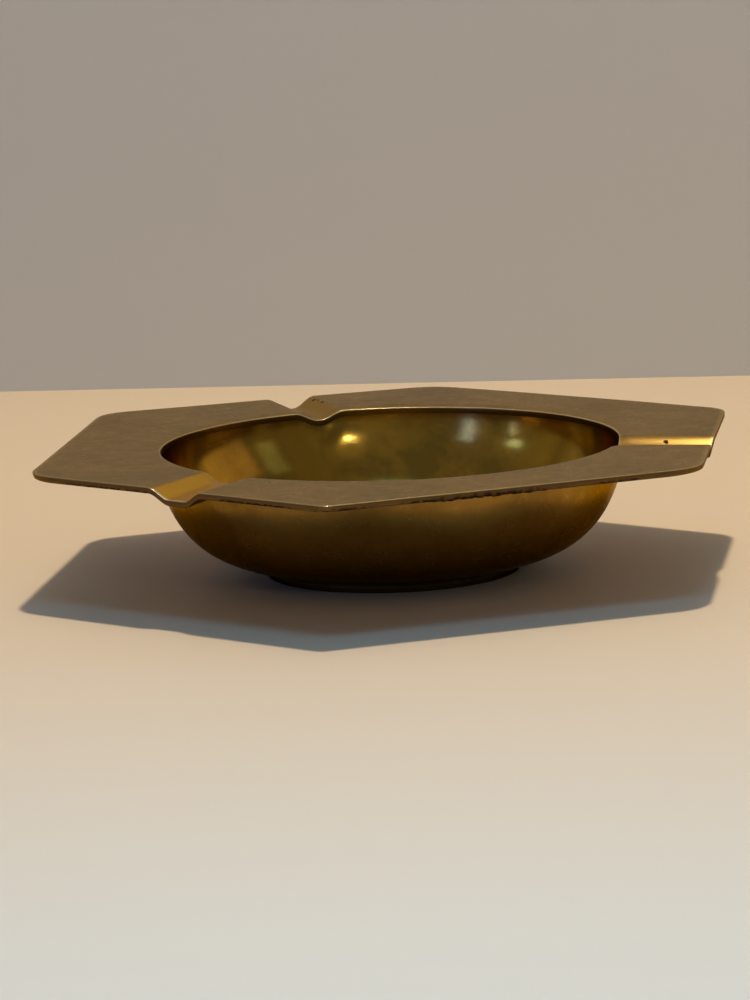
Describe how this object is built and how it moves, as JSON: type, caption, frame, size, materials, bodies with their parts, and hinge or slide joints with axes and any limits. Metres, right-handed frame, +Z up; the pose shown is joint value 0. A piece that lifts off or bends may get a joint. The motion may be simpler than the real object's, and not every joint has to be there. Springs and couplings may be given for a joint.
{
  "type": "incense burner",
  "caption": "Low brass dish with a flat hexagonal brim, pressed stick rests across the brim, and a round bowl on a foot ring.",
  "frame": {"origin": "on the table, under the middle of the hexagonal brim", "axes": "+Z up, +X at the middle of one side of the hexagon, +Y through one of its corners"},
  "size_m": [0.1509, 0.171, 0.03],
  "materials": {
    "brim_brass": "aged satin, brown patina",
    "bowl_brass": "aged, softly polished",
    "foot_brass": "aged, dull",
    "solder": "rough brazing brass"
  },
  "bodies": {
    "root": {"brim": "brim_brass", "bowl": "bowl_brass", "brim_seam_1": "solder", "brim_seam_2": "solder", "brim_seam_3": "solder", "foot_ring": "foot_brass", "foot_seam": "solder"}
  },
  "joints": []
}
